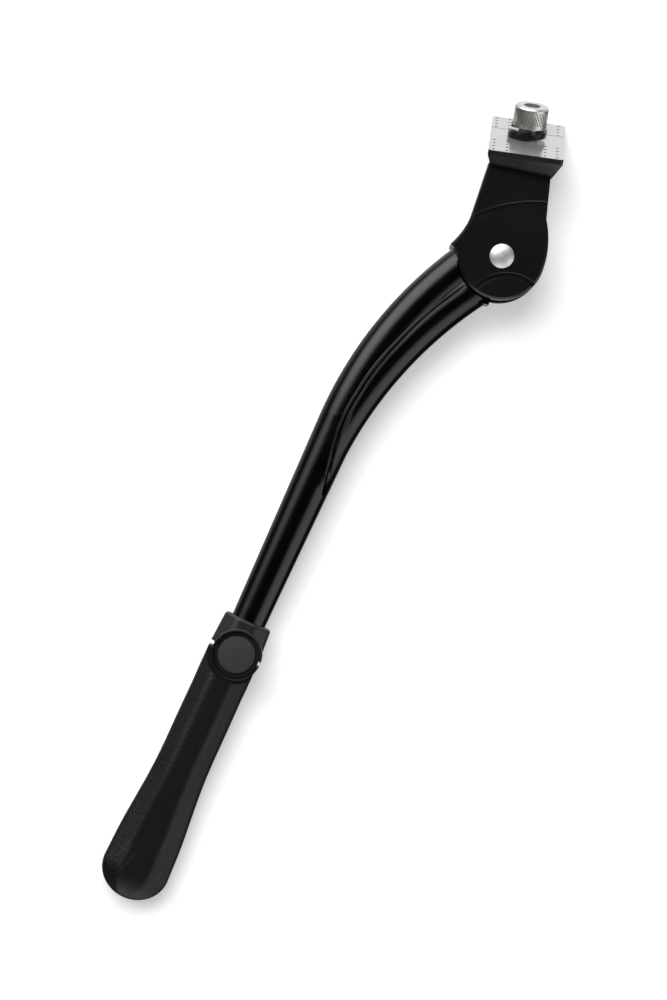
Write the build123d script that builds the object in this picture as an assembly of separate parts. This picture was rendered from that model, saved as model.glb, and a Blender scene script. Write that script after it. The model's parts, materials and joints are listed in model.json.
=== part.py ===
from build123d import *
import math
import os

# Bicycle kickstand, centre mount, leg down. Millimetres.
# The origin is where the bolt axis meets the flange's top face. +Z runs up the bolt, +X to the rear of the
# bicycle and -Y out to its left side. The leg turns in a plane that leans outwards as it goes down.

# Flange that bears on the frame
flange_width = 28.5
flange_length = 51.0
flange_edge = 2.0
flange_depth = 8.6
flange_root_width = 23.0
flange_root_length = 43.0
flange_root_shift = -0.7
flange_root_slope = 3.0
flange_corner = 1.2
relief_depth = 0.1
relief_half_length = 8.3
core_wall = 3.0
core_roof = 4.0
boss_radius = 8.5
boss_depth = 24.0
rib_thickness = 5.0
rib_foot = 14.0

# Punched grip dots on the flange: columns across, rows from each end
dot_columns = (-12.5, -7.4, 7.1, 11.7)
dot_rows = 4
dot_pitch = 4.5
dot_edge = 2.4
dot_radius = 0.55
dot_depth = 0.5

# Bolt and its spring washer
bolt_radius = 4.0
bolt_length = 30.0
bolt_head_radius = 6.5
bolt_head_height = 8.0
bolt_key = 6.0
bolt_key_depth = 4.6
bolt_chamfer = 0.6
knurl_count = 36
knurl_depth = 0.25
knurl_length = 5.6
knurl_slant = 26.0
thread_gap = 0.05
lock_radius = 7.4
lock_hole = 4.4
lock_thickness = 2.1
lock_rise = 2.6
lock_split = 1.0
lock_turn = 160.0
lock_shift = -0.35

# Pivot and the clevis, measured in the leg's plane from the pivot
leg_tilt = 23.0
leg_yaw = 2.2
pivot_side = -4.7
pivot_drop = 48.2
pivot_out = 7.0
clevis_thickness = 22.0
slot_width = 12.0
cheek_radius = 16.5
head_gap = 0.8
stop_tip = (-19.7, 2.3)
stop_slope = 44.0
stop_gap = 0.3
round_end_angle = -20.0
fold_range = 104.0
fold_slack = 1.5
neck_top = 36.0
neck_left_top = -9.0
neck_left = -13.0
neck_left_height = 15.5
neck_right_top = 14.3
neck_right = 14.9
neck_right_height = 16.0
flare_left = (-16.0, 7.6)
flare_right = (16.9, 5.0)
ledge_height = 31.0
ledge_slope = 5.3
ledge_run = 2.9
ledge_rise = 2.85
cheek_edge = 0.8
groove_lip = 0.45
lip_angle = 45.0
groove_depth = 1.2
upper_groove_width = 1.6
upper_groove = ((-11.6, 13.4), (1.6, 19.4), (16.5, 21.5))
lower_groove_width = 1.3
lower_groove = ((-7.6, -12.5), (3.6, -6.8), (13.6, -9.6))

# Rivet, bush and slip discs
rivet_radius = 3.0
rivet_head_radius = 4.6
rivet_head_height = 1.7
rivet_tail_radius = 4.4
rivet_tail_depth = 1.4
running_gap = 0.05
bush_wall = 1.0
slip_radius = 9.0
slip_thickness = 0.7

# Leg: a round bar bent to one arc, then straight, with a second ridge that leaves it towards the bracket
tongue_radius = 14.0
tongue_right_angle = 263.0
tongue_root = 1.5
shoulder_gap = 0.6
bar_radius = 8.0
bar_bend = 150.0
bar_start = (-52.3, -68.4)
bar_lean = 17.0
bar_sweep = 36.0
bar_straight = 84.7
bar_end_radius = 6.7
ridge_radius = 7.4
ridge_top_turn = 31.0
ridge_top_inset = 9.6
ridge_middle_turn = 12.9
ridge_middle_inset = 5.6
ridge_foot = 12.0
ridge_foot_inset = 0.4
crease_width = 0.9
crease_depth = 0.6
crease_path = (
    (-9.6, -10.5),
    (-23.9, -24.7),
    (-33.8, -36.7),
    (-41.9, -48.5),
    (-46.9, -58.6),
    (-50.7, -68.2),
    (-53.5, -80.8),
    (-54.7, -90.5),
    (-55.3, -98.5),
)
shoulder_right_angle = 264.0

# Foot: sleeve, boot and button, measured from the collar's top along the leg's axis. The flat, side and
# corner of a section are shares of its half width and depth.
rod_radius = 5.0
rod_length = 66.0
rod_root = 1.0
rod_chamfer = 1.0
slide_gap = 0.15
collar_half_width = 9.3
collar_half_depth = 8.6
collar_height = 13.2
collar_round = 1.2
split_half_width = 10.1
split_front = 9.0
split_back = 11.2
split_gap = 0.1
section_flat = 0.42
section_side = 0.35
section_corner = 0.5
core_radius = 7.2
bore_spare = 3.0
bore_end = 3.0
head_half_width = 8.4
head_length = 6.5
head_seat = 3.0
head_wall = 1.2
bond_gap = 0.02
boot_length = 115.8
boot_back = 12.3
boot_shoulder = 25.0
boot_waist = 10.1
boot_waist_depth = 9.4
boot_spread = 13.1
boot_spread_depth = 7.2
spread_start = 55.0
spread_end = 103.7
boot_sections = 7
tip_angles = (0, 20, 40, 60, 75, 86)
ring_shift = 1.2
ring_radius = 9.7
ring_top = 11.0
ring_wall = 0.75
ring_edge = 0.25
ring_notch = 2.0
ring_floor_wall = 1.0
step_radius = 11.2
step_top = 9.9
button_gap = 0.25
button_flange = 0.8
crown_radius = 7.0
crown_height = 1.2
crown_dome = 0.4
button_travel = 1.5
grip_gap = 0.3
arm_thickness = 1.7
yoke_length = 6.0
yoke_gap = 0.25
bar_thickness = 1.7
coil_radius = 2.2
coil_wire = 0.35
coil_turns = 3

# Return spring behind the leg, hooked between two posts
post_radius = 2.0
post_collar = 3.0
post_head_radius = 3.0
post_head = 1.2
bracket_post_height = 9.0
leg_post_turn = 10.0
leg_post_seat = 7.0
leg_post_root = 2.0
spring_level = 15.3
spring_wire = 1.05
spring_radius = 3.1
spring_pitch = 2.25
spring_hook = 10.0
hook_gap = 0.06

# How far a cutting shape runs past the face it cuts
overcut = 1.0

# Frames worked out from the sizes above
tilt = math.radians(leg_tilt)
yaw = math.radians(leg_yaw)
rearward = Vector(math.cos(yaw), math.sin(yaw), 0)
outward = Vector(math.sin(yaw) * math.cos(tilt), -math.cos(yaw) * math.cos(tilt), math.sin(tilt))
upward = outward.cross(rearward)
pivot = rearward * pivot_side - upward * pivot_drop + outward * pivot_out
leg_plane = Plane(origin=pivot, x_dir=rearward, z_dir=outward)
lean = math.radians(bar_lean)
bar_down = Vector(-math.sin(lean), -math.cos(lean))
bar_right = Vector(math.cos(lean), -math.sin(lean))
bend_centre = Vector(*bar_start) + bar_right * bar_bend
collar_top = Vector(*bar_start) + bar_down * bar_straight
foot_plane = Plane(origin=collar_top, x_dir=bar_right, z_dir=(0, 0, 1))
cheek_half = clevis_thickness / 2
core_length = rod_length + bore_spare + bore_end
slot_half = slot_width / 2
tongue_half = slot_half - slip_thickness - 2 * running_gap
shoulder_radius = cheek_radius + shoulder_gap
head_radius = tongue_radius + head_gap
fold_stop_angle = shoulder_right_angle - 360 + fold_range + fold_slack
head_base = lock_thickness + lock_rise - relief_depth
bracket_post = Vector(0, bracket_post_height)
button_back = rod_radius + grip_gap
ring_floor = rod_radius + slide_gap + ring_floor_wall
button_under = ring_floor + button_travel + running_gap
crown_base = button_under + button_flange
yoke_back = button_back + bar_thickness
head_back = split_back - head_wall
button_centre = Vector(ring_shift, -collar_height)


def polar(radius, degrees):
    """A point in a plane from a distance and an angle."""
    angle = math.radians(degrees)
    return Vector(radius * math.cos(angle), radius * math.sin(angle))


def bent_point(turn, inset=0):
    """A point beside the bar's axis on its bend, by the turn since the bend began."""
    return bend_centre + polar(bar_bend - inset, 180 - bar_lean - turn)


def slab(sketch, low, high):
    """A sketch made into a plate between two heights."""
    return Pos(0, 0, low) * extrude(sketch, high - low)


def rod_between(start, end, radius):
    """A round rod between two points."""
    axis = end - start
    return extrude(Plane(origin=start, z_dir=axis) * Circle(radius), axis.length)


def leg_post_point():
    """Where the spring's lower post stands on the leg."""
    return bent_point(leg_post_turn)


def stop_point(out, away=0):
    """A point on the stop's slanted face by its distance out from the cheek's round, or off that face."""
    along = polar(1, -stop_slope)
    tip = Vector(*stop_tip)
    middle = -tip.dot(along)
    inward = middle - math.sqrt(middle**2 - tip.dot(tip) + cheek_radius**2)
    return tip + along * (inward - out) - polar(away, 90 - stop_slope)


def make_flange():
    """Flange with a thin edge and a drafted underside, cored out behind the bolt boss."""
    plan = RectangleRounded(flange_width, flange_length, flange_corner)
    root = Pos(flange_root_shift, 0) * Rectangle(flange_root_width, flange_root_length)
    upper = Pos(0, 0, -flange_edge) * Rectangle(flange_width, flange_length)
    flange = slab(plan, -flange_edge, 0)
    flange += loft([Pos(0, 0, -flange_depth) * Rot(0, flange_root_slope, 0) * root, upper])
    boss = slab(Circle(boss_radius), -boss_depth, -flange_edge)
    core_length_y = flange_root_length / 2 - core_wall - boss_radius
    core_centre = boss_radius + core_length_y / 2
    pocket_width = (flange_root_width - rib_thickness) / 2 - core_wall
    for side in (-1, 1):
        centre = flange_root_shift + side * (rib_thickness + pocket_width) / 2
        pocket = Pos(centre, core_centre) * Rectangle(pocket_width, core_length_y)
        flange -= slab(pocket, -flange_depth, -core_roof)
    rib_end = flange_root_length / 2
    rib_profile = Polyline(
        (0, -flange_edge),
        (rib_end, -flange_edge),
        (rib_end, -flange_depth),
        (boss_radius, -rib_foot),
        (0, -rib_foot),
        close=True,
    )
    rib_centre = flange_root_shift - rib_thickness / 2
    rib = extrude(Plane.YZ.offset(rib_centre) * make_face(rib_profile), rib_thickness)
    relief = slab(Rectangle(2 * flange_width, 2 * relief_half_length), -relief_depth, overcut)
    return flange + boss + rib - relief


def clevis_outline():
    """Cheek outline: neck, the nose that stops the leg when down, and the round end."""
    round_end = polar(cheek_radius, round_end_angle)
    left_bend = (neck_left, neck_left_height)
    right_bend = (neck_right, neck_right_height)
    edges = [
        Line((neck_left_top, neck_top), left_bend),
        ThreePointArc(left_bend, flare_left, stop_tip),
        Line(stop_tip, stop_point(0)),
        ThreePointArc(stop_point(0), (0, -cheek_radius), round_end),
        ThreePointArc(round_end, flare_right, right_bend),
        Line(right_bend, (neck_right_top, neck_top)),
        Line((neck_right_top, neck_top), (neck_left_top, neck_top)),
    ]
    return make_face(edges)


def slot_outline():
    """Space for the tongue: round about the pivot and open below the two stops."""
    reach = 4 * cheek_radius
    opening = Polyline(
        (0, 0),
        stop_point(0),
        stop_point(reach),
        (-reach, -reach),
        (reach, -reach),
        polar(reach, fold_stop_angle),
        close=True,
    )
    return make_face(opening) + Circle(head_radius)


def arc_groove(points, width):
    """A round-ended groove in the front cheek along an arc, with bevelled lips."""
    path = ThreePointArc(*points)
    groove = slab(SlotArc(path, width), cheek_half - groove_depth, cheek_half + overcut)
    mouth = slab(SlotArc(path, width + 2 * groove_lip), cheek_half, cheek_half + overcut)
    lips = extrude(mouth.faces().sort_by(Axis.Z)[0], groove_lip, dir=(0, 0, -1), taper=lip_angle)
    return groove + mouth + lips


def make_bracket():
    """Die-cast bracket: flange, neck and clevis in one piece."""
    block = slab(clevis_outline(), -cheek_half, cheek_half)
    rims = block.edges().filter_by_position(Axis.Z, -cheek_half, -cheek_half)
    rims += block.edges().filter_by_position(Axis.Z, cheek_half, cheek_half)
    block = chamfer(rims.filter_by(lambda edge: edge.center().Y < neck_top - overcut), cheek_edge)
    ledge = Polyline(
        (cheek_half, 0),
        (cheek_half - ledge_run, ledge_rise),
        (cheek_half - ledge_run, neck_top),
        (cheek_half + overcut, neck_top),
        (cheek_half + overcut, 0),
        close=True,
    )
    ledge_plane = Plane(origin=(2 * cheek_radius, 0, 0), x_dir=(0, 0, 1), z_dir=(-1, 0, 0))
    cutter = extrude(ledge_plane * make_face(ledge), 4 * cheek_radius)
    block -= Pos(0, ledge_height, 0) * Rot(0, 0, -ledge_slope) * cutter
    block -= [arc_groove(upper_groove, upper_groove_width), arc_groove(lower_groove, lower_groove_width)]
    bracket = make_flange() + leg_plane * block
    bracket -= leg_plane * slab(slot_outline(), -slot_half, slot_half)
    bracket -= leg_plane * Cylinder(rivet_radius, 2 * clevis_thickness)
    bracket -= leg_plane * rivet_tail()
    post_hole = Pos(bracket_post.X, bracket_post.Y, -cheek_half) * Cylinder(post_radius, slot_width)
    bracket -= leg_plane * post_hole
    bracket -= slab(Circle(bolt_radius + thread_gap), -bolt_length, overcut)
    return bracket - grip_dots()


def grip_dots():
    """Punched cones in the flange's top, in rows from both ends."""
    dot = Pos(0, 0, -dot_depth / 2) * Cone(0, dot_radius, dot_depth)
    dots = []
    for column in dot_columns:
        for row in range(dot_rows):
            place = flange_length / 2 - dot_edge - row * dot_pitch
            dots.append(Pos(column, place) * dot)
            dots.append(Pos(column, -place) * dot)
    return dots


def rivet_tail():
    """Countersunk tail of the rivet, flush with the back cheek."""
    middle = -cheek_half + rivet_tail_depth / 2
    return Pos(0, 0, middle) * Cone(rivet_tail_radius, rivet_radius, rivet_tail_depth)


def make_rivet():
    """Domed rivet through both cheeks."""
    dome_radius = (rivet_head_radius**2 + rivet_head_height**2) / (2 * rivet_head_height)
    dome = Pos(0, 0, cheek_half + rivet_head_height - dome_radius) * Sphere(dome_radius)
    keep = slab(Circle(2 * rivet_head_radius), cheek_half, cheek_half + 2 * rivet_head_height)
    shank = Cylinder(rivet_radius, clevis_thickness)
    return leg_plane * (shank + (dome & keep) + rivet_tail())


def make_bush():
    """Bearing bush in the tongue."""
    inner = rivet_radius + running_gap
    bush = Cylinder(inner + bush_wall, 2 * tongue_half) - Cylinder(inner, 2 * tongue_half)
    return leg_plane * bush


def make_slip_disc(side):
    """Slip disc between the tongue and one cheek."""
    disc = Cylinder(slip_radius, slip_thickness)
    disc -= Cylinder(rivet_radius + running_gap, slip_thickness)
    return leg_plane * Pos(0, 0, side * (slot_half - running_gap - slip_thickness / 2)) * disc


def ridge_path():
    """Arc that the ridge follows, from its foot on the bar up towards the bracket."""
    foot = Vector(*bar_start) + bar_down * ridge_foot + bar_right * ridge_foot_inset
    return ThreePointArc(
        foot,
        bent_point(ridge_middle_turn, ridge_middle_inset),
        bent_point(ridge_top_turn, ridge_top_inset),
    )


def leg_bars(shrink=0):
    """The two round bars of the leg, or the same bars with thinner radii."""
    start = Vector(*bar_start)
    bend = ThreePointArc(start, bent_point(bar_sweep / 2), bent_point(bar_sweep))
    bar = sweep(Plane(origin=start, z_dir=-bar_down) * Circle(bar_radius - shrink), bend)
    cone = Solid.make_cone(
        bar_radius - shrink, bar_end_radius - shrink, bar_straight, Plane(origin=start, z_dir=bar_down)
    )
    path = ridge_path()
    ridge = sweep(Plane(origin=path @ 0, z_dir=path % 0) * Circle(ridge_radius - shrink), path)
    return bar + cone + ridge + Pos(path @ 0) * Sphere(ridge_radius - shrink)


def make_leg():
    """Leg casting: bars with a crease, tongue, stop shoulder and the rod for the foot."""
    leg = leg_bars()
    crease = trace(Spline(*crease_path), crease_width)
    leg -= slab(crease, -2 * bar_radius, 2 * bar_radius) - leg_bars(crease_depth)
    leg -= Cylinder(shoulder_radius, 4 * bar_radius)
    far = 4 * cheek_radius
    above = Polyline(stop_point(0, stop_gap), stop_point(far, stop_gap), (0, far), close=True)
    leg -= slab(make_face(above), -2 * bar_radius, 2 * bar_radius)
    stop_root = stop_point(0, stop_gap)
    root_radius = shoulder_radius + tongue_root
    root_middle = (180 + tongue_right_angle) / 2
    root_left = stop_root + polar(tongue_root, 180 + root_middle / 2)
    root = [
        Line((0, 0), stop_root),
        Line(stop_root, root_left),
        ThreePointArc(root_left, polar(root_radius, root_middle), polar(root_radius, tongue_right_angle)),
        Line(polar(root_radius, tongue_right_angle), (0, 0)),
    ]
    tongue = Circle(tongue_radius) + make_face(root)
    leg += slab(tongue, -tongue_half, tongue_half)
    leg -= Cylinder(rivet_radius + running_gap + bush_wall, 4 * tongue_half)
    rod = slab(Circle(rod_radius), -rod_root, rod_length)
    rod = chamfer(rod.edges().sort_by(Axis.Z)[-1], rod_chamfer)
    leg += foot_plane * Rot(90, 0, 0) * rod
    post = leg_post_point()
    seat = Pos(post.X, post.Y, -leg_post_seat) * Cylinder(
        post_collar + hook_gap, 2 * bar_radius, align=(Align.CENTER, Align.CENTER, Align.MAX)
    )
    hole = Pos(post.X, post.Y, -leg_post_root) * Cylinder(
        post_radius, 2 * bar_radius, align=(Align.CENTER, Align.CENTER, Align.MAX)
    )
    return leg_plane * (leg - seat - hole)


def make_post(place, root, seat):
    """Spring post: pressed shank, spacer collar and a head that keeps the hook on."""
    hook_front = spring_level - spring_wire - hook_gap
    hook_back = spring_level + spring_wire + hook_gap
    align = (Align.CENTER, Align.CENTER, Align.MAX)
    post = Pos(0, 0, -root) * Cylinder(post_radius, hook_back - root, align=align)
    post += Pos(0, 0, -seat) * Cylinder(post_collar, hook_front - seat, align=align)
    post += Pos(0, 0, -hook_back) * Cylinder(post_head_radius, post_head, align=align)
    return leg_plane * Pos(place.X, place.Y, 0) * post


def make_return_spring():
    """Extension spring: close coil with a hook on each end, lying between the two posts."""
    lower = leg_post_point()
    span = (lower - bracket_post).length
    direction = (lower - bracket_post).normalized()
    coil_height = spring_pitch * math.floor((span - 2 * spring_hook) / spring_pitch)
    hook_radius = post_radius + spring_wire + hook_gap
    coil_start = (span - coil_height) / 2
    helix = Helix(spring_pitch, coil_height, spring_radius)
    wire = Plane(origin=helix @ 0, z_dir=helix % 0) * Circle(spring_wire)
    spring = Pos(0, 0, coil_start) * sweep(wire, helix, is_frenet=True)
    loop = Rot(90, 0, 0) * Torus(hook_radius, spring_wire)
    for end, turn_z in ((0, coil_start), (span, coil_start + coil_height)):
        toward = 1 if end == 0 else -1
        knee = Vector(0, 0, turn_z - toward * spring_radius)
        spring += Pos(0, 0, end) * loop
        spring += rod_between(Vector(0, 0, end + toward * hook_radius), knee, spring_wire)
        spring += Pos(knee) * Sphere(spring_wire)
        spring += rod_between(knee, Vector(spring_radius, 0, turn_z), spring_wire)
        spring += Pos(spring_radius, 0, turn_z) * Sphere(spring_wire)
    across = Vector(0, 0, 1).cross(direction)
    frame = Plane(origin=(bracket_post.X, bracket_post.Y, -spring_level), x_dir=across, z_dir=direction)
    return leg_plane * frame * spring


def make_bolt():
    """Socket-head bolt: knurled head, hexagon socket and plain shank."""
    top = head_base + bolt_head_height
    head = slab(Circle(bolt_head_radius), head_base, top)
    head = chamfer(head.edges().sort_by(Axis.Z)[-1], bolt_chamfer)
    groove = Rectangle(knurl_depth * 2, knurl_depth * 2, rotation=45)
    notch = Rot(knurl_slant, 0, 0) * slab(groove, -knurl_length / 2, knurl_length / 2)
    notch = Pos(bolt_head_radius, 0, head_base + bolt_head_height / 2) * notch
    head -= [Rot(0, 0, turn * 360 / knurl_count) * notch for turn in range(knurl_count)]
    head -= slab(RegularPolygon(bolt_key / math.sqrt(3), 6), top - bolt_key_depth, top)
    shank = slab(Circle(bolt_radius), head_base - bolt_length, head_base)
    shank = chamfer(shank.edges().sort_by(Axis.Z)[0], bolt_chamfer)
    return head + shank


def make_lock_washer():
    """Split spring washer, not yet pressed flat: one turn of a square wire with a small rise."""
    middle = (lock_radius + lock_hole) / 2
    share = 1 - lock_split / (2 * math.pi * middle)
    helix = Helix(lock_rise / share, lock_rise, middle)
    section = Plane(origin=helix @ 0, x_dir=(1, 0, 0), z_dir=helix % 0)
    ring = sweep(section * Rectangle(lock_radius - lock_hole, lock_thickness), helix, is_frenet=True)
    return Pos(lock_shift, 0, lock_thickness / 2 - relief_depth) * Rot(0, 0, lock_turn) * ring


def foot_section(place, half_width, front, back):
    """A section of the foot across its axis: flat front, back and sides with rounded slants between them."""
    flat = section_flat * half_width
    outline = Polyline(
        (flat, front),
        (half_width, section_side * front),
        (half_width, -section_side * back),
        (flat, -back),
        (-flat, -back),
        (-half_width, -section_side * back),
        (-half_width, section_side * front),
        (-flat, front),
        close=True,
    )
    section = fillet(make_face(outline).vertices(), section_corner * min(front, half_width))
    return Plane(origin=(0, -place, 0), x_dir=(1, 0, 0), z_dir=(0, -1, 0)) * section


def split_half(shape, side):
    """The half of a shape above or below the split between the collar and the boot."""
    middle = -collar_height + side * (step_radius + split_gap / 2)
    return shape & Pos(ring_shift, middle, 0) * Box(4 * step_radius, 2 * step_radius, 4 * step_radius)


def raised_ring():
    """Raised ring round the button, with a bevelled edge."""
    ring = slab(Pos(button_centre) * Circle(ring_radius), 0, ring_top)
    return chamfer(ring.edges().sort_by(Axis.Z)[-1], ring_edge)


def ring_hollow():
    """Room inside the ring for the button, with a notch on each side at the split."""
    inner = ring_radius - ring_wall
    hollow = slab(Pos(button_centre) * Circle(inner), ring_floor, 2 * ring_top)
    for side in (-1, 1):
        place = side * (head_half_width + ring_radius)
        notch = Pos(place, -collar_height) * Rectangle(2 * ring_radius, ring_notch)
        hollow += slab(notch, -2 * ring_top, 2 * ring_top)
    gate = Pos(button_centre) * Rectangle(4 * ring_radius, ring_notch)
    return hollow + slab(gate, ring_floor, 2 * ring_top)


def yoke_room():
    """Slot through the sleeve for the button's yoke and its spring."""
    half = rod_radius + grip_gap + arm_thickness + yoke_gap
    opening = Pos(0, -collar_height) * Rectangle(2 * half, yoke_length + 2 * yoke_gap)
    return slab(opening, -head_back, 2 * ring_top)


def carrier_core():
    """Part of the sleeve that the boot covers, with its head let into the collar."""
    seat = collar_height - head_seat
    head_top = foot_section(seat, head_half_width, core_radius, split_back - bond_gap)
    head_middle = foot_section(collar_height, head_half_width, core_radius, split_back - bond_gap)
    head_end = foot_section(collar_height + head_length, core_radius, core_radius, core_radius)
    core = Rot(90, 0, 0) * slab(Circle(core_radius), collar_height, core_length)
    return loft([head_top, head_middle, head_end], ruled=True) + core


def make_carrier():
    """Hard sleeve on the rod: visible collar, half the ring and a long core."""
    collar = loft([
        foot_section(0, collar_half_width, collar_half_depth, collar_half_depth),
        foot_section(collar_height - split_gap / 2, split_half_width, split_front, split_back),
    ])
    collar = fillet(collar.faces().sort_by(Axis.Y)[-1].edges(), collar_round)
    carrier = collar + split_half(raised_ring(), 1) + carrier_core()
    depth = core_length - bore_end
    bore = Rot(90, 0, 0) * slab(Circle(rod_radius + slide_gap), -overcut, depth)
    return leg_plane * foot_plane * (carrier - bore - ring_hollow() - yoke_room())


def boot_section(place):
    """Boot section at a distance from the collar's top: narrow and deep, then eased to a wide flat end."""
    share = min(max((place - spread_start) / (spread_end - spread_start), 0), 1)
    ease = share * share * (3 - 2 * share)
    half_width = boot_waist + (boot_spread - boot_waist) * ease
    half_depth = boot_waist_depth + (boot_spread_depth - boot_waist_depth) * ease
    return foot_section(place, half_width, half_depth, half_depth)


def boot_tip():
    """Rounded end of the boot: sections that close in like half an ellipsoid."""
    sections = []
    for degrees in tip_angles:
        shrink = math.cos(math.radians(degrees))
        place = spread_end + (boot_length - spread_end) * math.sin(math.radians(degrees))
        depth = boot_spread_depth * shrink
        sections.append(foot_section(place, boot_spread * shrink, depth, depth))
    return loft(sections)


def make_boot():
    """Rubber boot: narrow below the ring, flattened and spread towards a rounded end."""
    top = foot_section(collar_height + split_gap / 2, split_half_width, split_front, boot_back)
    spacing = (spread_end - boot_shoulder) / (boot_sections - 1)
    places = [boot_shoulder + spacing * number for number in range(boot_sections)]
    boot = loft([top, boot_section(boot_shoulder)], ruled=True)
    boot += loft([boot_section(place) for place in places])
    boot += boot_tip()
    step = slab(Pos(button_centre) * Circle(step_radius) & Rectangle(2 * boot_waist, 4 * collar_height), 0, step_top)
    boot += split_half(raised_ring() + step, -1)
    return leg_plane * foot_plane * (boot - carrier_core() - ring_hollow() - yoke_room())


def make_button():
    """Length button: disc on a yoke whose bar grips the rod from behind."""
    flange = slab(Circle(ring_radius - ring_wall - button_gap), button_under, crown_base)
    crown = slab(Circle(crown_radius), crown_base, crown_base + crown_height)
    dome_radius = (crown_radius**2 + crown_dome**2) / (2 * crown_dome)
    crown &= Pos(0, 0, crown_base + crown_height - dome_radius) * Sphere(dome_radius)
    disc = Pos(button_centre) * (flange + crown)
    width = rod_radius + grip_gap + arm_thickness
    yoke = slab(Pos(0, -collar_height) * Rectangle(2 * width, yoke_length), -yoke_back, button_under)
    window = Pos(0, -collar_height) * Rectangle(2 * (rod_radius + grip_gap), 2 * yoke_length)
    yoke -= slab(window, -button_back, button_under)
    return leg_plane * foot_plane * (disc + yoke)


def make_button_spring():
    """Small coil between the yoke's bar and the sleeve's back wall."""
    height = head_back - yoke_back - 2 * coil_wire - 2 * running_gap
    helix = Helix(height / coil_turns, height, coil_radius)
    wire = Plane(origin=helix @ 0, z_dir=helix % 0) * Circle(coil_wire)
    coil = sweep(wire, helix, is_frenet=True)
    return leg_plane * foot_plane * Pos(0, -collar_height, -head_back + coil_wire + running_gap) * coil


pieces = {
    "bracket": make_bracket(),
    "mount_bolt": make_bolt(),
    "lock_washer": make_lock_washer(),
    "pivot_rivet": make_rivet(),
    "pivot_bush": make_bush(),
    "thrust_washer_front": make_slip_disc(1),
    "thrust_washer_back": make_slip_disc(-1),
    "leg": make_leg(),
    "return_spring": make_return_spring(),
    "bracket_spring_pin": make_post(bracket_post, slot_half, cheek_half),
    "leg_spring_pin": make_post(leg_post_point(), leg_post_root, leg_post_seat),
    "foot_carrier": make_carrier(),
    "foot_boot": make_boot(),
    "length_button": make_button(),
    "button_spring": make_button_spring(),
}
os.makedirs("parts", exist_ok=True)
for name, piece in pieces.items():
    export_step(piece, f"parts/{name}.step")
    print(name, round(piece.volume, 1))
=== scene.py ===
import json
import math

import bmesh
import bpy
from mathutils import Matrix, Vector
from mathutils.bvhtree import BVHTree


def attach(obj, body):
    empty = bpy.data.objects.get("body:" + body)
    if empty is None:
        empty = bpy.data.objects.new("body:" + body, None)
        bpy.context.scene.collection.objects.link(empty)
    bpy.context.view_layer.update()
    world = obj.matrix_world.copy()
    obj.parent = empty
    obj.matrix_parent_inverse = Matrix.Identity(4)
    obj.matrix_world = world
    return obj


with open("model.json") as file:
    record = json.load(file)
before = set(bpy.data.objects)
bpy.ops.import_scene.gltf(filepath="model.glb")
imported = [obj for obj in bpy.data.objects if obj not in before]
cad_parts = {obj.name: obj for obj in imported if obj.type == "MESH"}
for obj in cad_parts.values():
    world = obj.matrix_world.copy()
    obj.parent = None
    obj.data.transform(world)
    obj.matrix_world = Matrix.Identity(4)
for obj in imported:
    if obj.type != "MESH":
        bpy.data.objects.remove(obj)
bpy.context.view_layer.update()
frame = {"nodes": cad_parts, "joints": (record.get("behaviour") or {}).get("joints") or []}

scene = bpy.context.scene
scene.view_settings.view_transform = "Standard"

# The leg's own directions, read from its hinge: outward to the viewer, rearward to the right and upward
MM = 0.001
hinge = next(joint for joint in frame["joints"] if joint["name"] == "leg_fold")
pivot = Vector(hinge["pos_m"])
outward = Vector(hinge["axis"]).normalized()
rearward = Vector((0, 0, 1)).cross(outward).normalized()
upward = outward.cross(rearward)

# The straight lower leg leans from the upward line, and the foot follows it
LEG_LEAN = math.radians(17.0)
leg_down = -rearward * math.sin(LEG_LEAN) - upward * math.cos(LEG_LEAN)
leg_right = rearward * math.cos(LEG_LEAN) - upward * math.sin(LEG_LEAN)

# The photograph's camera, measured in the plane of the front cheek
CHEEK_FRONT = 11.0
LOOK_AT = (-51.0, -99.6)
DISTANCE = 1000.0
LENS = 95.4
SENSOR = 36.0
ROLL_RIGHT = 0.9914
ROLL_UP = 0.1305
image_right = rearward * ROLL_RIGHT + upward * ROLL_UP
image_up = upward * ROLL_RIGHT - rearward * ROLL_UP


def in_leg_plane(u, v, n):
    """A point from millimetres rearward, upward and outward of the pivot."""
    return pivot + (rearward * u + upward * v + outward * n) * MM


def node_points(node):
    """The vertices of a CAD node, which sits at the origin."""
    return [vertex.co for vertex in frame["nodes"][node].data.vertices]


def tone(code):
    """Linear colour from an sRGB hex value."""
    parts = [int(code[place:place + 2], 16) / 255 for place in (0, 2, 4)]
    return [part / 12.92 if part <= 0.04045 else ((part + 0.055) / 1.055) ** 2.4 for part in parts] + [1.0]


def per_metre(size_mm):
    """Texture scale that gives lumps of about this size."""
    return 1 / (size_mm * MM)


def add(tree, kind, inputs=None, **settings):
    """A shader node with its settings, and values or links on its inputs.

    A colour mix takes its share at input 0 and its colours at 6 and 7, and gives the colour at output 2."""
    node = tree.nodes.new(kind)
    for name, value in settings.items():
        setattr(node, name, value)
    for name, value in (inputs or {}).items():
        if isinstance(value, bpy.types.NodeSocket):
            tree.links.new(value, node.inputs[name])
        else:
            node.inputs[name].default_value = value
    return node


def new_material(name):
    """An empty material, its node tree and the object's own coordinates in it."""
    material = bpy.data.materials.new(name)
    material.use_nodes = True
    tree = material.node_tree
    tree.nodes.clear()
    place = add(tree, "ShaderNodeTexCoord").outputs["Object"]
    return material, tree, place


# Stove enamel: orange peel and hazier patches, in millimetres
PEEL_SIZE = 2.2
PEEL_DEPTH = 0.02
HAZE_SIZE = 14.0


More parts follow.
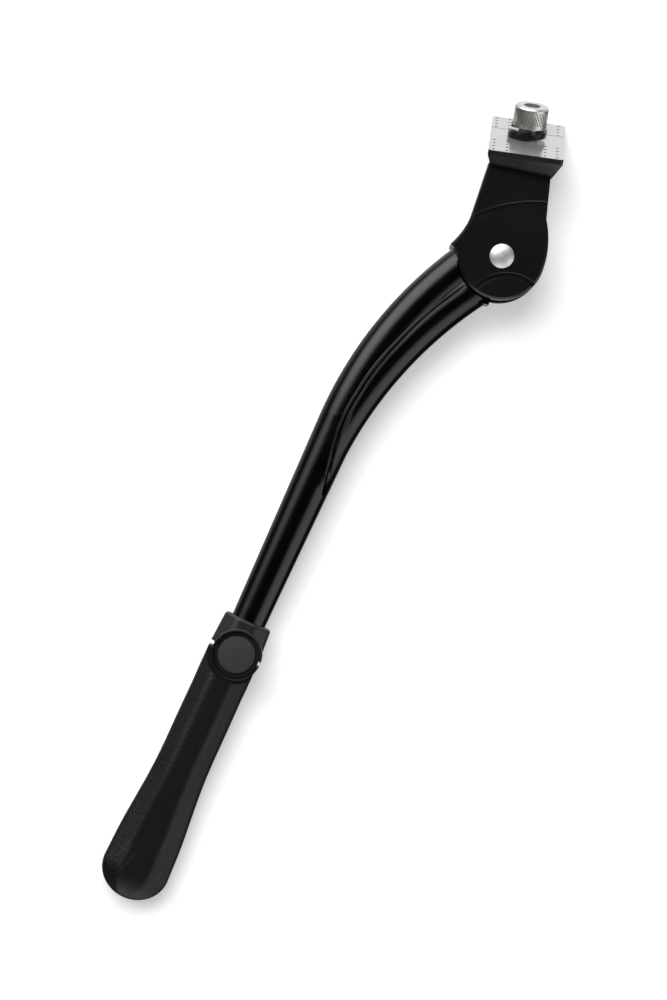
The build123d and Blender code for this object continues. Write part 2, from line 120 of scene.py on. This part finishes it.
def enamel_coat(tree, place, dark, light, glossy, hazy):
    """Stove enamel on a casting: deep black, glossy, with a faint orange peel and hazier patches."""
    peel = add(tree, "ShaderNodeTexNoise", {"Vector": place, "Scale": per_metre(PEEL_SIZE), "Detail": 1.0})
    bump = add(tree, "ShaderNodeBump", {
        "Height": peel.outputs["Fac"], "Strength": 0.25, "Distance": PEEL_DEPTH * MM,
    })
    haze = add(tree, "ShaderNodeTexNoise", {"Vector": place, "Scale": per_metre(HAZE_SIZE), "Detail": 3.0})
    gloss = add(tree, "ShaderNodeMapRange", {"Value": haze.outputs["Fac"], "To Min": glossy, "To Max": hazy})
    black = add(tree, "ShaderNodeMix", {
        0: haze.outputs["Fac"], 6: tone(dark), 7: tone(light),
    }, data_type="RGBA")
    return black.outputs[2], gloss.outputs["Result"], bump.outputs["Normal"]


def leg_enamel():
    """Cast aluminium leg under black stove enamel: long clear highlights on a deep black."""
    material, tree, place = new_material("black_stove_enamel")
    colour, gloss, normal = enamel_coat(tree, place, "020202", "050506", 0.17, 0.25)
    shader = add(tree, "ShaderNodeBsdfPrincipled", {"Base Color": colour, "Roughness": gloss, "Normal": normal})
    add(tree, "ShaderNodeOutputMaterial", {"Surface": shader.outputs[0]})
    return material


# The flange is milled down to this depth where it is level, and on every slope between its two pads
MILLED_DEPTH = 0.45
LEVEL_COSINE = 0.85
BETWEEN_PADS = 8.5
# The cutter's feed marks are drawn coarse enough to show; a wave texture of scale 1 repeats every 0.314 units
FEED = 0.9
WAVE_LENGTH = 0.314
# The cut metal keeps a thin pale oxide, so it is bright from every side
MILLED_METAL = 0.55
# The punched pits keep their paint, dulled
PIT_ROUGHNESS = 0.8


def bracket_enamel():
    """Enamelled casting whose flange top is milled bright after painting; the punched dots stay dull black."""
    material, tree, place = new_material("enamelled_casting_milled_top")
    colour, gloss, normal = enamel_coat(tree, place, "131314", "19191a", 0.2, 0.28)
    axes = add(tree, "ShaderNodeSeparateXYZ", {0: place}).outputs
    facing = add(tree, "ShaderNodeNewGeometry").outputs["True Normal"]
    upness = add(tree, "ShaderNodeSeparateXYZ", {0: facing}).outputs["Z"]
    near_top = add(tree, "ShaderNodeMath", {
        0: axes["Z"], 1: -MILLED_DEPTH * MM,
    }, operation="GREATER_THAN").outputs[0]
    level = add(tree, "ShaderNodeMath", {0: upness, 1: LEVEL_COSINE}, operation="GREATER_THAN").outputs[0]
    length = add(tree, "ShaderNodeMath", {0: axes["Y"]}, operation="ABSOLUTE").outputs[0]
    between = add(tree, "ShaderNodeMath", {0: length, 1: BETWEEN_PADS * MM}, operation="LESS_THAN").outputs[0]
    cut = add(tree, "ShaderNodeMath", {0: level, 1: between}, operation="MAXIMUM").outputs[0]
    bare = add(tree, "ShaderNodeMath", {0: near_top, 1: cut}, operation="MULTIPLY").outputs[0]
    pits = add(tree, "ShaderNodeMath", {0: near_top, 1: bare}, operation="SUBTRACT").outputs[0]
    marks = add(tree, "ShaderNodeTexWave", {
        "Vector": place, "Scale": WAVE_LENGTH * per_metre(FEED), "Distortion": 1.5, "Detail": 2.0,
    }, bands_direction="X").outputs["Fac"]
    milled = add(tree, "ShaderNodeMix", {0: marks, 6: tone("dededc"), 7: tone("e4e4e2")}, data_type="RGBA")
    shine = add(tree, "ShaderNodeMapRange", {"Value": marks, "To Min": 0.11, "To Max": 0.16})
    both = add(tree, "ShaderNodeMix", {0: bare, 6: colour, 7: milled.outputs[2]}, data_type="RGBA")
    rough = add(tree, "ShaderNodeMix", {0: bare, 2: gloss, 3: shine.outputs["Result"]})
    dull = add(tree, "ShaderNodeMix", {0: pits, 2: rough.outputs[0], 3: PIT_ROUGHNESS})
    metal = add(tree, "ShaderNodeMath", {0: bare, 1: MILLED_METAL}, operation="MULTIPLY").outputs[0]
    shader = add(tree, "ShaderNodeBsdfPrincipled", {
        "Base Color": both.outputs[2], "Metallic": metal, "Roughness": dull.outputs[0], "Normal": normal,
    })
    add(tree, "ShaderNodeOutputMaterial", {"Surface": shader.outputs[0]})
    return material


def fastener_metal(name, dark, light, roughness, size_mm, metal=1.0):
    """Plated, burnished or peened steel, or the bush's bronze: a little cloudy, with duller spots in its gloss.

    Where less of it is bare metal, it is paler from every side."""
    material, tree, place = new_material(name)
    cloud = add(tree, "ShaderNodeTexNoise", {
        "Vector": place, "Scale": per_metre(size_mm), "Detail": 3.0,
    }).outputs["Fac"]
    colour = add(tree, "ShaderNodeMix", {0: cloud, 6: tone(dark), 7: tone(light)}, data_type="RGBA")
    gloss = add(tree, "ShaderNodeMapRange", {
        "Value": cloud, "To Min": roughness * 0.75, "To Max": roughness * 1.3,
    })
    ripple = add(tree, "ShaderNodeBump", {"Height": cloud, "Strength": 0.4, "Distance": 0.02 * size_mm * MM})
    shader = add(tree, "ShaderNodeBsdfPrincipled", {
        "Base Color": colour.outputs[2], "Metallic": metal, "Roughness": gloss.outputs["Result"],
        "Normal": ripple.outputs["Normal"],
    })
    add(tree, "ShaderNodeOutputMaterial", {"Surface": shader.outputs[0]})
    return material


def moulded_skin(tree, place, dark, light, size_mm, depth_mm):
    """Colour and grain of a moulding whose fine grain was spark-eroded into its mould."""
    grain = add(tree, "ShaderNodeTexNoise", {
        "Vector": place, "Scale": per_metre(size_mm), "Detail": 3.0,
    }).outputs["Fac"]
    flat = add(tree, "ShaderNodeNewGeometry").outputs["True Normal"]
    bump = add(tree, "ShaderNodeBump", {
        "Height": grain, "Strength": 1.0, "Distance": depth_mm * MM, "Normal": flat,
    })
    colour = add(tree, "ShaderNodeMix", {0: grain, 6: tone(dark), 7: tone(light)}, data_type="RGBA")
    return colour.outputs[2], bump.outputs["Normal"]


def moulded_nylon(name, dark, light, roughness, size_mm, depth_mm):
    """Injection-moulded nylon: an even dull surface with a fine grain."""
    material, tree, place = new_material(name)
    colour, normal = moulded_skin(tree, place, dark, light, size_mm, depth_mm)
    shader = add(tree, "ShaderNodeBsdfPrincipled", {
        "Base Color": colour, "Roughness": roughness, "Normal": normal,
    })
    add(tree, "ShaderNodeOutputMaterial", {"Surface": shader.outputs[0]})
    return material


# Painted shade on the button's sunk rim: none down to the first depth under its crown, and black from the
# second
SHADE_START_DEPTH = 0.7
SHADE_FULL_DEPTH = 1.3


def button_nylon():
    """Satin nylon button with painted shade: its sunk rim is painted black round the crown."""
    material, tree, place = new_material("satin_nylon_button")
    unshaded, normal = moulded_skin(tree, place, "363638", "4a4a4b", 0.7, 0.02)
    height = add(tree, "ShaderNodeVectorMath", {
        0: place, 1: outward,
    }, operation="DOT_PRODUCT").outputs["Value"]
    crown = max(point.dot(outward) for point in node_points("length_button"))
    sunk = add(tree, "ShaderNodeMapRange", {
        "Value": height, "From Min": crown - SHADE_START_DEPTH * MM, "From Max": crown - SHADE_FULL_DEPTH * MM,
    })
    # Painted shade: below the crown the sunk rim's colour is mixed to near black
    colour = add(tree, "ShaderNodeMix", {
        0: sunk.outputs["Result"], 6: unshaded, 7: tone("030303"),
    }, data_type="RGBA")
    shader = add(tree, "ShaderNodeBsdfPrincipled", {
        "Base Color": colour.outputs[2], "Roughness": 0.42, "Normal": normal,
    })
    add(tree, "ShaderNodeOutputMaterial", {"Surface": shader.outputs[0]})
    return material


# The rubber's grain is finer on the real boot, and is drawn at this size so that it shows
GRAIN_SIZE = 0.9
GRAIN_DEPTH = 0.16
# Scuffs are thin streaks that fade in towards the boot's end
SCUFF_LENGTH = 14.0
SCUFF_SPACING = 0.7
SCUFF_START = 40.0
SCUFF_FULL = 15.0


def boot_rubber():
    """Moulded rubber with a leathery grain, greyed by fine diagonal scuffs where it meets the ground."""
    material, tree, place = new_material("grained_black_rubber")
    grain = add(tree, "ShaderNodeTexNoise", {
        "Vector": place, "Scale": per_metre(GRAIN_SIZE), "Detail": 3.0,
    }).outputs["Fac"]
    bump = add(tree, "ShaderNodeBump", {"Height": grain, "Strength": 1.0, "Distance": GRAIN_DEPTH * MM})
    skin = add(tree, "ShaderNodeMix", {0: grain, 6: tone("060607"), 7: tone("101011")}, data_type="RGBA")
    along = add(tree, "ShaderNodeVectorMath", {
        0: place, 1: (image_right + image_up).normalized() * per_metre(SCUFF_LENGTH),
    }, operation="DOT_PRODUCT").outputs["Value"]
    across = add(tree, "ShaderNodeVectorMath", {
        0: place, 1: (image_right - image_up).normalized() * per_metre(SCUFF_SPACING),
    }, operation="DOT_PRODUCT").outputs["Value"]
    streak_place = add(tree, "ShaderNodeCombineXYZ", {"X": along, "Y": across}).outputs[0]
    streaks = add(tree, "ShaderNodeTexNoise", {"Vector": streak_place, "Scale": 1.0, "Detail": 1.0})
    lines = add(tree, "ShaderNodeMapRange", {
        "Value": streaks.outputs["Fac"], "From Min": 0.6, "From Max": 0.72,
    })
    down = add(tree, "ShaderNodeVectorMath", {
        0: place, 1: leg_down,
    }, operation="DOT_PRODUCT").outputs["Value"]
    foot_end = max(point.dot(leg_down) for point in node_points("foot_boot"))
    low = add(tree, "ShaderNodeMapRange", {
        "Value": down, "From Min": foot_end - SCUFF_START * MM, "From Max": foot_end - SCUFF_FULL * MM,
    })
    worn = add(tree, "ShaderNodeMath", {
        0: lines.outputs["Result"], 1: low.outputs["Result"],
    }, operation="MULTIPLY").outputs[0]
    colour = add(tree, "ShaderNodeMix", {0: worn, 6: skin.outputs[2], 7: tone("262626")}, data_type="RGBA")
    shader = add(tree, "ShaderNodeBsdfPrincipled", {
        "Base Color": colour.outputs[2], "Roughness": 0.46, "Specular IOR Level": 0.4,
        "Normal": bump.outputs["Normal"],
    })
    add(tree, "ShaderNodeOutputMaterial", {"Surface": shader.outputs[0]})
    return material


# What each CAD node is finished in
enamel = leg_enamel()
nylon = moulded_nylon("natural_nylon", "c8c5ba", "d8d5ca", 0.5, 0.8, 0.01)
pin_steel = fastener_metal("plated_pin_steel", "969698", "b4b4b4", 0.3, 1.5)
finishes = {
    "bracket": bracket_enamel(),
    "leg": enamel,
    "mount_bolt": fastener_metal("zinc_plated_steel", "c4c3bf", "e2e1dd", 0.34, 1.5, 0.92),
    "lock_washer": fastener_metal("burnished_washer_steel", "2c2c2c", "50504f", 0.24, 1.5),
    "pivot_rivet": fastener_metal("peened_steel", "e0e0e0", "f6f6f6", 0.42, 4.0, 0.65),
    "pivot_bush": fastener_metal("bearing_bronze", "8e6a38", "b28a52", 0.35, 2.0),
    "thrust_washer_front": nylon,
    "thrust_washer_back": nylon,
    "return_spring": fastener_metal("plated_spring_wire", "8a8a8c", "aeaeb0", 0.28, 1.5),
    "bracket_spring_pin": pin_steel,
    "leg_spring_pin": pin_steel,
    "button_spring": fastener_metal("plated_coil_wire", "8a8a8c", "aeaeb0", 0.28, 1.0),
    "foot_carrier": moulded_nylon("glass_filled_nylon", "171718", "28282a", 0.45, 0.6, 0.04),
    "foot_boot": boot_rubber(),
    "length_button": button_nylon(),
}
for node, material in finishes.items():
    slots = frame["nodes"][node].data.materials
    slots.clear()
    slots.append(material)

# Rolled lips of the casting along both sides of the leg's crease, whose points are millimetres rearward and
# upward of the pivot
CREASE = (
    (-11.8, -12.7), (-23.9, -24.7), (-33.8, -36.7), (-41.9, -48.5), (-46.9, -58.6),
    (-50.7, -68.2), (-53.5, -80.8), (-54.7, -90.5),
)
# A lip runs beside the crease's middle as a bead, a little sunk in the leg, and shrinks to a share at its ends
LIP_OFFSET = 0.95
LIP_RADIUS = 0.6
LIP_SINK = 0.15
LIP_END = 0.3
# Steps between two points of the crease, and how far in front of the pivot they start down to the leg's surface
LIP_STEPS = 6
IN_FRONT = 33.0


def crease_line():
    """The crease as closely spaced points of one smooth curve through its measured ones."""
    curve = bpy.data.curves.new("crease", "CURVE")
    curve.resolution_u = LIP_STEPS
    path = curve.splines.new("BEZIER")
    path.bezier_points.add(len(CREASE) - 1)
    for point, spot in zip(path.bezier_points, CREASE):
        point.co = (*spot, 0)
        point.handle_left_type = "AUTO"
        point.handle_right_type = "AUTO"
    holder = bpy.data.objects.new("crease", curve)
    mesh = bpy.data.meshes.new_from_object(holder)
    points = [vertex.co.xy for vertex in mesh.vertices]
    bpy.data.objects.remove(holder)
    bpy.data.curves.remove(curve)
    bpy.data.meshes.remove(mesh)
    return points


def crease_lip(name, side):
    """One lip: a thin round bead laid on the leg's front, fading out at both ends."""
    leg = frame["nodes"]["leg"].data
    surface = BVHTree.FromPolygons(node_points("leg"), [face.vertices for face in leg.polygons])
    curve = bpy.data.curves.new(name, "CURVE")
    curve.dimensions = "3D"
    curve.bevel_depth = LIP_RADIUS * MM
    curve.bevel_resolution = 3
    curve.resolution_u = 2
    curve.use_fill_caps = True
    line = crease_line()
    last = len(line) - 1
    path = curve.splines.new("BEZIER")
    path.bezier_points.add(last)
    for number, (point, spot) in enumerate(zip(path.bezier_points, line)):
        way = (line[min(number + 1, last)] - line[max(number - 1, 0)]).normalized()
        u = spot.x - way.y * side * LIP_OFFSET
        v = spot.y + way.x * side * LIP_OFFSET
        hit = surface.ray_cast(in_leg_plane(u, v, IN_FRONT), -outward)[0]
        point.co = hit - outward * LIP_SINK * MM
        point.handle_left_type = "AUTO"
        point.handle_right_type = "AUTO"
        point.radius = LIP_END if number in (0, last) else 1.0
    lip = bpy.data.objects.new(name, curve)
    scene.collection.objects.link(lip)
    curve.materials.append(enamel)
    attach(lip, "leg")


crease_lip("crease_lip_bar_side", 1)
crease_lip("crease_lip_ridge_side", -1)

# Camera
eye = in_leg_plane(*LOOK_AT, CHEEK_FRONT + DISTANCE)
camera_data = bpy.data.cameras.new("camera")
camera_data.lens = LENS
camera_data.sensor_width = SENSOR
camera_data.clip_start = 10 * MM
camera = bpy.data.objects.new("camera", camera_data)
scene.collection.objects.link(camera)
facing_viewer = Matrix((image_right, image_up, outward)).transposed().to_4x4()
camera.matrix_world = Matrix.Translation(eye) @ facing_viewer
scene.camera = camera

# Table that the stand lies on: it touches the flange's far edge and the boot's back
TABLE_AT = (-51.0, -100.0, -22.4)
TABLE_RISE = math.radians(-3.4)
TABLE_HALF = 1500.0
TABLE_GLOW = 0.52


def make_table():
    """White light table: a diffuse top that also glows, seen only from its upper side."""
    mesh = bpy.data.meshes.new("table")
    shape = bmesh.new()
    bmesh.ops.create_grid(shape, x_segments=1, y_segments=1, size=TABLE_HALF * MM)
    lie = Matrix.Translation(in_leg_plane(*TABLE_AT)) @ facing_viewer
    shape.transform(lie @ Matrix.Rotation(TABLE_RISE, 4, "X"))
    shape.to_mesh(mesh)
    shape.free()
    table = bpy.data.objects.new("table", mesh)
    scene.collection.objects.link(table)
    material, tree, _ = new_material("white_table")
    white = add(tree, "ShaderNodeBsdfPrincipled", {
        "Base Color": tone("f4f4f4"), "Roughness": 1.0, "Specular IOR Level": 0.0,
        "Emission Color": tone("ffffff"), "Emission Strength": TABLE_GLOW,
    })
    clear = add(tree, "ShaderNodeBsdfTransparent")
    side = add(tree, "ShaderNodeNewGeometry").outputs["Backfacing"]
    shader = add(tree, "ShaderNodeMixShader", {0: side, 1: white.outputs[0], 2: clear.outputs[0]})
    add(tree, "ShaderNodeOutputMaterial", {"Surface": shader.outputs[0]})
    mesh.materials.append(material)
    table.visible_glossy = False


# Overhead panel: degrees right of the viewer and towards the bracket, then millimetres
PANEL_SWING = math.radians(-13.0)
PANEL_LIFT = math.radians(14.0)
PANEL_DISTANCE = 1600.0
PANEL_SIZE = 750.0
PANEL_BRIGHTNESS = 10.4


def hang_panel():
    """A square soft light for the shadows, its sides along the lower leg, which no surface mirrors."""
    data = bpy.data.lights.new("overhead_panel", "AREA")
    data.shape = "RECTANGLE"
    data.size = PANEL_SIZE * MM
    data.size_y = PANEL_SIZE * MM
    data.energy = PANEL_BRIGHTNESS * math.pi * data.size * data.size_y
    panel = bpy.data.objects.new("overhead_panel", data)
    scene.collection.objects.link(panel)
    back = leg_right * math.sin(PANEL_SWING) + outward * math.cos(PANEL_SWING)
    back = back * math.cos(PANEL_LIFT) - leg_down * math.sin(PANEL_LIFT)
    along = (-leg_down - back * back.dot(-leg_down)).normalized()
    face = Matrix((along.cross(back), along, back)).transposed().to_4x4()
    start = in_leg_plane(*LOOK_AT, 0) + back * PANEL_DISTANCE * MM
    panel.matrix_world = Matrix.Translation(start) @ face
    panel.visible_glossy = False


def around(turn, tilt):
    """A direction tilted from the viewer's, towards the angle turned from the leg's right side up the leg."""
    side = leg_right * math.cos(math.radians(turn)) - leg_down * math.sin(math.radians(turn))
    return side * math.sin(math.radians(tilt)) + outward * math.cos(math.radians(tilt))


# What shines on the stand from around it: direction, cosine where it starts and where it is full, brightness
SURROUND = {
    "upper left": (around(148, 60), 0.78, 0.995, 3.4),
    "right": (around(352, 72), 0.78, 0.98, 1.25),
    "above and behind": (around(96, 125), 0.5, 0.85, 0.92),
    "above": (around(110, 90), 0.75, 0.95, 2.2),
    "below": (around(285, 80), 0.7, 0.92, 1.3),
    "behind": (around(130, 150), 0.4, 0.85, 0.45),
    "above and in front": (around(107, 64), 0.9, 0.985, 3.2),
}
DIM = 0.012
BACKDROP = 0.75


def studio_world():
    """Soft surround for the reflections; the camera sees an even pale grey behind the stand."""
    world = bpy.data.worlds.new("studio")
    scene.world = world
    world.use_nodes = True
    world.cycles_visibility.diffuse = False
    tree = world.node_tree
    tree.nodes.clear()
    way = add(tree, "ShaderNodeTexCoord").outputs["Generated"]
    glow = DIM
    for direction, begin, full, brightness in SURROUND.values():
        share = add(tree, "ShaderNodeVectorMath", {
            0: way, 1: direction,
        }, operation="DOT_PRODUCT").outputs["Value"]
        patch = add(tree, "ShaderNodeMapRange", {
            "Value": share, "From Min": begin, "From Max": full, "To Max": brightness,
        }, interpolation_type="SMOOTHSTEP").outputs["Result"]
        glow = add(tree, "ShaderNodeMath", {0: glow, 1: patch}, operation="MAXIMUM").outputs[0]
    seen = add(tree, "ShaderNodeLightPath").outputs["Is Camera Ray"]
    strength = add(tree, "ShaderNodeMix", {0: seen, 2: glow, 3: BACKDROP}).outputs[0]
    background = add(tree, "ShaderNodeBackground", {"Color": tone("ffffff"), "Strength": strength})
    add(tree, "ShaderNodeOutputWorld", {"Surface": background.outputs[0]})


make_table()
studio_world()
hang_panel()
